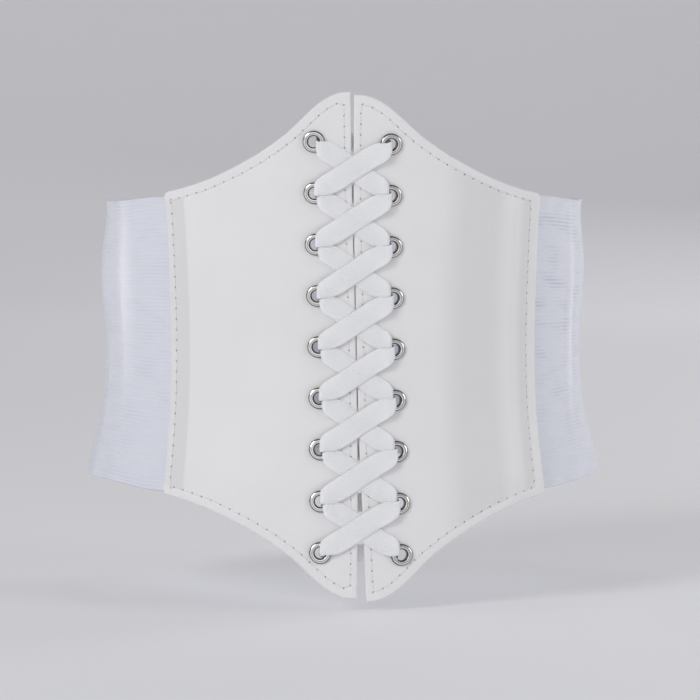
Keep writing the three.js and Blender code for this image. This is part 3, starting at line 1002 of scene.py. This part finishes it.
def build_band(side, word):
    ribs = round(2 * ELASTIC_HALF_HEIGHT / RIB_PITCH)
    bm = thicken(flat_grid(BAND_COLUMNS, ribs * ROWS_PER_RIB, band_place(side)), ELASTIC_THICKNESS)
    places = np.array([v.co for v in bm.verts])
    arc, height = places[:, 0], places[:, 2]
    outer = -places[:, 1] > ELASTIC_THICKNESS / 2
    reach = np.abs(arc)
    along = (reach - band_start(height)) / (band_end(height) - band_start(height))
    past = smooth_step(reach - panel_outer_arc(height), 0, ELASTIC_NECKING_RUN)
    level = height / (1 - ELASTIC_NECKING * past / ELASTIC_HALF_HEIGHT)
    from_edge = ELASTIC_HALF_HEIGHT - np.abs(level)
    rib = 0.5 - 0.5 * np.cos(2 * math.pi * (level + ELASTIC_HALF_HEIGHT) / RIB_PITCH)
    ribbed = smooth_step(from_edge, SELVEDGE * 0.5, SELVEDGE * 1.5)
    to_panel = reach - panel_outer_arc(height)
    to_closure = half_round(height) - CLOSURE_HALF_WIDTH - reach
    free = smooth_step(np.minimum(to_panel, to_closure), 0, ELASTIC_TUCK)
    near = smooth_step(to_panel, 1, 8)
    near_edge = np.exp(-from_edge / EDGE_WAVE_DEPTH) * free
    wavy = EDGE_WAVE * np.sin(reach / EDGE_WAVE_RUN + 1.3 * side) * near_edge
    form = free * folds_at(FOLDS, along, height) + near * folds_at(CREASES[side], along, height) + wavy
    crest = RIB_DEPTH * (1 - rib) * ribbed + round_edge(from_edge, SELVEDGE_RADIUS)
    off = np.where(outer, form - SEAT - crest, form - SEAT - ELASTIC_THICKNESS + crest)
    for v, o in zip(bm.verts, off):
        v.co.y = -o
    lay_out(bm, "pattern_mm", lambda v: (v.co.x, level[v.index]))
    # Two attributes of painted light: a highlight along a fold's crest, and shade in the rib grooves.
    for name, table in (("painted_crest_highlight", CREST_HIGHLIGHTS[side]), ("painted_groove_shade", GROOVE_SHADES[side])):
        layer = bm.verts.layers.float.new(name)
        for v, tone in zip(bm.verts, folds_at(table, along, height) / ELASTIC_HALF_HEIGHT):
            v[layer] = tone
    band = wrap(new_object(f"elastic_{word}", bm))
    shade(band, 60)
    finish_piece(band, [ELASTIC], [f"elastic_band_{word}"])
    length = float(band_end(np.array(0.0)) - band_start(np.array(0.0))) * MM
    print(f"elastic_{word}: {ribs} ribs, {length * 1000:.0f} mm long")


for side, word in SIDES:
    build_band(side, word)


# %% [markdown]
# ## The back closure
# The fastening isn't seen, so it is one plain strip of the same leather over the ends of both bands,
# edge-stitched like the panels. Its pattern is symmetrical, and it is pressed with the same function.

# %% Back closure
CLOSURE_CELLS = (64, 130)
CLOSURE_CROWDING = (0.5, 0.72)


def no_relief(arc, height):
    return np.zeros_like(arc)


def build_closure():
    closure, holes = leather_wall(
        "closure",
        closure_place,
        CLOSURE_CROWDING,
        CLOSURE_CELLS,
        CLOSURE_THICKNESS,
        [EDGE_MARGIN] * 4,
        no_relief,
        [],
    )
    finish_wall(closure, "back_closure")
    front = CLOSURE_THICKNESS - GROOVE_DEPTH + THREAD_LIFT
    sew("closure", holes, lambda x, z: front, lambda x, z: -SEAT - ELASTIC_THICKNESS)


build_closure()


# %% [markdown]
# ## The eyelets
# An eyelet is a surface of revolution, so its profile is drawn once, as a closed line of a few points, and
# spun. The front rim is rolled like half a torus, the barrel goes through the leather, and the tube is
# splayed flat behind. A subdivision of the spun form would soften the rim's own edges, so the roll has
# enough points of its own.

# %% Eyelets
RIM_STEPS = 56
ROLL_STEPS = 10


def rim_profile():
    """The eyelet's profile, as distance from its axis and distance off the seat."""
    front = PANEL_THICKNESS + 0.05
    middle = (EYELET_HOLE_RADIUS + EYELET_RIM_RADIUS) / 2
    half = (EYELET_RIM_RADIUS - EYELET_HOLE_RADIUS) / 2
    roll = []
    for i in range(ROLL_STEPS + 1):
        turn = math.pi * i / ROLL_STEPS
        roll.append((middle + half * math.cos(turn), front + 0.2 + 0.85 * math.sin(turn) ** 0.6))
    tube = EYELET_HOLE_RADIUS + 0.05
    barrel = [(EYELET_HOLE_RADIUS, front), (tube, 0.4), (tube, -0.5)]
    splay = [(EYELET_HOLE_RADIUS + 0.35, -0.78), (4.1, -0.72), (4.3, -0.5), (4.1, -0.35), (3.05, -0.3)]
    return roll + barrel + splay + [(3.05, front), (EYELET_RIM_RADIUS - 0.25, front)]


def build_eyelet(side, word, row):
    bm = lathe([(r, -off, 0) for r, off in rim_profile()], (0, 1, 0), RIM_STEPS, True, 1e-4)
    lay_out(bm, "axis_mm", lambda v: (math.hypot(v.co.x, v.co.z), -v.co.y))
    x, z = eyelet_place(side, row)
    bmesh.ops.translate(bm, verts=bm.verts[:], vec=(x, 0, z))
    eyelet = wrap(new_object(f"rim_{word}_{row + 1}", bm))
    shade(eyelet, 50)
    node = f"eyelet_{word}_{row + 1}"
    low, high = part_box(node)
    centre = np.array([v.co for v in eyelet.data.vertices]).mean(axis=0)
    finish_piece(eyelet, [NICKEL], [node])
    return float(np.abs(centre[[0, 2]] - (np.array(low) + np.array(high))[[0, 2]] / 2).max())


worst = max(build_eyelet(side, word, row) for side, word in SIDES for row in range(EYELET_ROWS))
print(f"eyelets lie within {worst * 1000:.2f} mm of the construction model's")


# %% [markdown]
# ## The lace
# One flat lace makes the whole front. Its route is one closed line of stations: across the front from an
# eyelet to the next row, in through the hole, straight across behind the row, and out again. It runs
# down as the strand that lies underneath at every crossing, and back up as the one on top. The stations
# are few, and a cubic B-spline rounds them, which is how a soft tape turns a corner. The tape is a flat
# grid rolled into a thin tube: full width on the leather, and gathered where it enters a hole.

# %% Lace route
LACE_HALF_THICKNESS = 0.33
LACE_BACK_HALF = 4.2
BAR_LEVEL = -1.35


def arm_stations(from_row, to_row, layer):
    """Stations on the front: arc, height, off the seat, half width and half thickness.

    A strand leaves its hole on the side that it travels to, which is the shift.
    """
    s0, h0 = eyelet_place(-1, from_row)
    s1, h1 = eyelet_place(1, to_row)
    full = LACE_WIDTH / 2 * math.hypot(1, (h1 - h0) / (s1 - s0))
    base = PANEL_THICKNESS + LACE_HALF_THICKNESS + 0.12
    lift = layer * LACE_STEP
    hole = 1.35 - 1.2 * layer
    near = [
        (hole, 0.4, 1.9, 0.5, 0.3),
        (hole, base - 0.1, 2.4, 0.5, 0.8),
        (hole + 0.1, base + 0.95 + lift, 3.0, 0.45, 1.5),
        (hole + 0.9, base + 1.35 + lift, 3.6, 0.4, 1.9),
        (3.4, base + 1.25 + lift, 4.3, 0.36, 1.5),
        (4.9, base + 0.75 + lift, 4.8, 0.34, 0.9),
        (6.6, base + 0.28 + lift, 5.3, 0.33, 0.4),
        (10.5, base + 0.03 + lift, full, 0.33, -0.3),
    ]
    span = s1 - s0
    slope = (h1 - h0) / span
    way = math.copysign(1, slope)
    stations = []
    for inset, off, half, thick, shift in near:
        stations.append((s0 + inset, h0 + slope * inset + way * shift, off, half, thick))
    stations.append(((s0 + s1) / 2, (h0 + h1) / 2, base + 0.03 + lift, full, 0.33))
    for inset, off, half, thick, shift in reversed(near):
        stations.append((s1 - inset, h1 - slope * inset - way * shift, off, half, thick))
    return stations


def bar_stations(row, from_layer, to_layer):
    """Stations behind a row, from the right eyelet to the left one."""
    s0, h0 = eyelet_place(1, row)
    s1, h1 = eyelet_place(-1, row)
    levels = [BAR_LEVEL - LACE_STEP * layer for layer in (from_layer, to_layer)]
    holes = [1.35 - 1.2 * layer for layer in (from_layer, to_layer)]
    near = [
        [(6.0, level, 4.1), (hole + 1.6, level, 3.5), (hole - 0.1, level + 0.1, 2.4)]
        for hole, level in zip(holes, levels)
    ]
    stations = [(s0 - inset, h0, off, half, 0.45) for inset, off, half in reversed(near[0])]
    stations.append(((s0 + s1) / 2, (h0 + h1) / 2, sum(levels) / 2, LACE_BACK_HALF, 0.42))
    stations += [(s1 + inset, h1, off, half, 0.45) for inset, off, half in near[1]]
    return stations


def lace_stations():
    """Down as the under strand, and back up as the over strand."""
    last = EYELET_ROWS - 1
    route = []
    for row in range(last):
        route += arm_stations(row, row + 1, 0)
        route += bar_stations(row + 1, 0, 1 if row + 1 == last else 0)
    for row in range(last, 0, -1):
        route += arm_stations(row, row - 1, 1)
        route += bar_stations(row - 1, 1, 0 if row == 1 else 1)
    return np.array(route)


def closed_spline(points, share):
    """A closed uniform cubic B-spline through the neighbourhood of points, read at shares of its length."""
    at = share * len(points)
    i = np.floor(at).astype(int)
    t = (at - i)[:, None]
    p = [points[(i + k) % len(points)] for k in (-1, 0, 1, 2)]
    weights = [(1 - t) ** 3, 3 * t**3 - 6 * t**2 + 4, -3 * t**3 + 3 * t**2 + 3 * t + 1, t**3]
    return sum(w * q for w, q in zip(weights, p)) / 6


# %% [markdown]
# The section of the tape stays upright all the way. Its thickness points away from the route in the
# level plane, so the same section lies flat on the leather, turns into a hole and lies flat again behind.

# %% Lace mesh
LACE_RING = 28
STEPS_PER_STATION = 4


def build_lace():
    route = lace_stations()
    columns = len(route) * STEPS_PER_STATION
    bm = bmesh.new()
    bmesh.ops.create_grid(bm, x_segments=columns, y_segments=LACE_RING, size=0.5)
    share = np.array([v.co[:2] for v in bm.verts]) + 0.5
    here = closed_spline(route, share[:, 0])
    delta = 0.25 / len(route)
    run = closed_spline(route, share[:, 0] + delta) - closed_spline(route, share[:, 0] - delta)
    run = run[:, [0, 2]]
    run /= np.maximum(np.linalg.norm(run, axis=-1, keepdims=True), 1e-9)
    turn = 2 * math.pi * share[:, 1]
    wide = np.sign(np.cos(turn)) * np.abs(np.cos(turn)) ** 0.7
    thick = np.sign(np.sin(turn)) * np.abs(np.sin(turn)) ** 0.75
    gather = np.clip(1 - here[:, 3] / (LACE_WIDTH / 2), 0, 1)
    pleat = 0.35 * gather * np.sin(3 * math.pi * wide)
    rise = here[:, 4] * thick + pleat
    arc = here[:, 0] - run[:, 1] * rise
    off = here[:, 2] + run[:, 0] * rise
    height = here[:, 1] + here[:, 3] * wide
    step = np.linalg.norm(np.diff(np.concatenate([route, route[:1]])[:, :3], axis=0), axis=-1)
    reach = np.concatenate([[0], np.cumsum(step)])
    along = np.interp(share[:, 0] * len(route), np.arange(len(reach)), reach)
    lay_out(bm, "pattern_mm", lambda v: (along[v.index], wide[v.index] * LACE_WIDTH / 2))
    for v, x, z, o in zip(bm.verts, arc, height, off):
        v.co = (x, -o, z)
    bmesh.ops.remove_doubles(bm, verts=bm.verts[:], dist=1e-4)
    bmesh.ops.recalc_face_normals(bm, faces=bm.faces[:])
    lace = wrap(new_object("lace_woven", bm))
    shade(lace, 75)
    finish_piece(lace, [LACE], ["lace"])
    print(f"lace: {reach[-1]:.0f} mm round its closed route")


build_lace()


# %% [markdown]
# ## Floor and backdrop
# The belt is shown closed and drawn to its own oval, just above a pale floor. The floor sweeps up into a
# low wall all round, like a shallow bowl, so that no horizon line shows from any side. It is a profile spun
# about the vertical, and its light grey lets white goods read. The paper glows a little, as a sheet with a
# lamp behind it does, which keeps the far wall pale.

# %% Bowl
BOWL_RADIUS = 3.4
BOWL_HEIGHT = 1.3
BOWL_BEND = 1.0
BEND_STEPS = 16
BOWL_SIDES = 96
FLOOR = -0.119


def lit_paper(tree):
    return {
        "Base Color": linear("#CFCFD2"),
        "Roughness": 0.9,
        "Emission Color": linear("#F4F4F8"),
        "Emission Strength": 0.24,
    }


def build_bowl():
    profile = [(0.0, FLOOR)]
    for i in range(BEND_STEPS + 1):
        turn = math.pi / 2 * i / BEND_STEPS
        run = BOWL_RADIUS - BOWL_BEND + BOWL_BEND * math.sin(turn)
        profile.append((run, FLOOR + BOWL_BEND * (1 - math.cos(turn))))
    profile.append((BOWL_RADIUS, FLOOR + BOWL_HEIGHT))
    bowl = new_object("bowl", lathe([(r, 0, z) for r, z in profile], (0, 0, 1), BOWL_SIDES, False, 1e-5))
    bowl.data.shade_smooth()
    bowl.data.materials.append(new_material("matt paper sweep", lit_paper))


build_bowl()


# %% [markdown]
# ## Light
# White on white is lit so that each edge gets a soft shade: a key light high on the left front, a wide
# weak one in front that the nickel mirrors, a weaker one on the right, and three behind so that the sides
# and the back aren't lost. The sky fills the rest.

# %% Lights
LAMPS = {
    "key": ((-1.6, -1.6, 1.1), 1.0, 23),
    "front": ((-0.5, -2.6, 0.5), 2.0, 4.6),
    "fill": ((1.9, -1.0, 0.6), 1.0, 9.5),
    "left rim": ((-1.7, 0.8, 0.5), 0.8, 2),
    "right rim": ((1.7, 0.8, 0.5), 0.8, 9),
    "back": ((0.7, 2.4, 0.9), 1.5, 5),
}


def soft_light(name, place, size, watts):
    """A round lamp that faces the belt."""
    light = bpy.data.lights.new(name, "AREA")
    light.shape = "DISK"
    light.size = size
    light.energy = watts
    lamp = bpy.data.objects.new(name, light)
    lamp.location = place
    lamp.rotation_euler = (-Vector(place)).to_track_quat("-Z", "Y").to_euler()
    lamp.visible_camera = False
    bpy.context.scene.collection.objects.link(lamp)


for name, (place, size, watts) in LAMPS.items():
    soft_light(name, place, size, watts)

world = bpy.data.worlds.new("studio")
world.use_nodes = True
world.node_tree.nodes["Background"].inputs["Color"].default_value = linear("#F8F8FA")
world.node_tree.nodes["Background"].inputs["Strength"].default_value = 0.22
bpy.context.scene.world = world
bpy.context.scene.view_settings.view_transform = "Standard"


# %% [markdown]
# ## Camera
# The photograph was taken from about 1.9 m, a little left of the belt's centre and a little above it. The
# lens is worked out from the photograph's own scale, 0.45 mm to a pixel at the front of the belt. The
# camera aims slightly off the belt's centre, because the belt isn't centred in the frame.

# %% Camera
AZIMUTH = math.radians(-4.5)
ELEVATION = math.radians(3.5)
CAMERA_DISTANCE = 1.885
FRAME_PIXELS = 700
METRES_PER_PIXEL = 0.45 * MM
ORIGIN_PIXEL = (343, 335)
SENSOR = 36.0

level = math.cos(ELEVATION)
back = Vector((math.sin(AZIMUTH) * level, -math.cos(AZIMUTH) * level, math.sin(ELEVATION)))
right = Vector((math.cos(AZIMUTH), math.sin(AZIMUTH), 0))
up = back.cross(right)
front_distance = CAMERA_DISTANCE - WAIST_HALF_DEPTH * MM
focal_pixels = front_distance / METRES_PER_PIXEL
per_pixel = CAMERA_DISTANCE / focal_pixels
aside, above = [(FRAME_PIXELS / 2 - pixel) * per_pixel for pixel in ORIGIN_PIXEL]
aim = aside * right - above * up

camera_data = bpy.data.cameras.new("camera")
camera_data.sensor_width = SENSOR
camera_data.lens = focal_pixels / FRAME_PIXELS * SENSOR
camera_data.clip_end = 20
camera = bpy.data.objects.new("camera", camera_data)
camera.location = back * CAMERA_DISTANCE
camera.rotation_euler = (aim - camera.location).to_track_quat("-Z", "Y").to_euler()
bpy.context.scene.collection.objects.link(camera)
bpy.context.scene.camera = camera
print(f"camera: {camera_data.lens:.1f} mm lens")
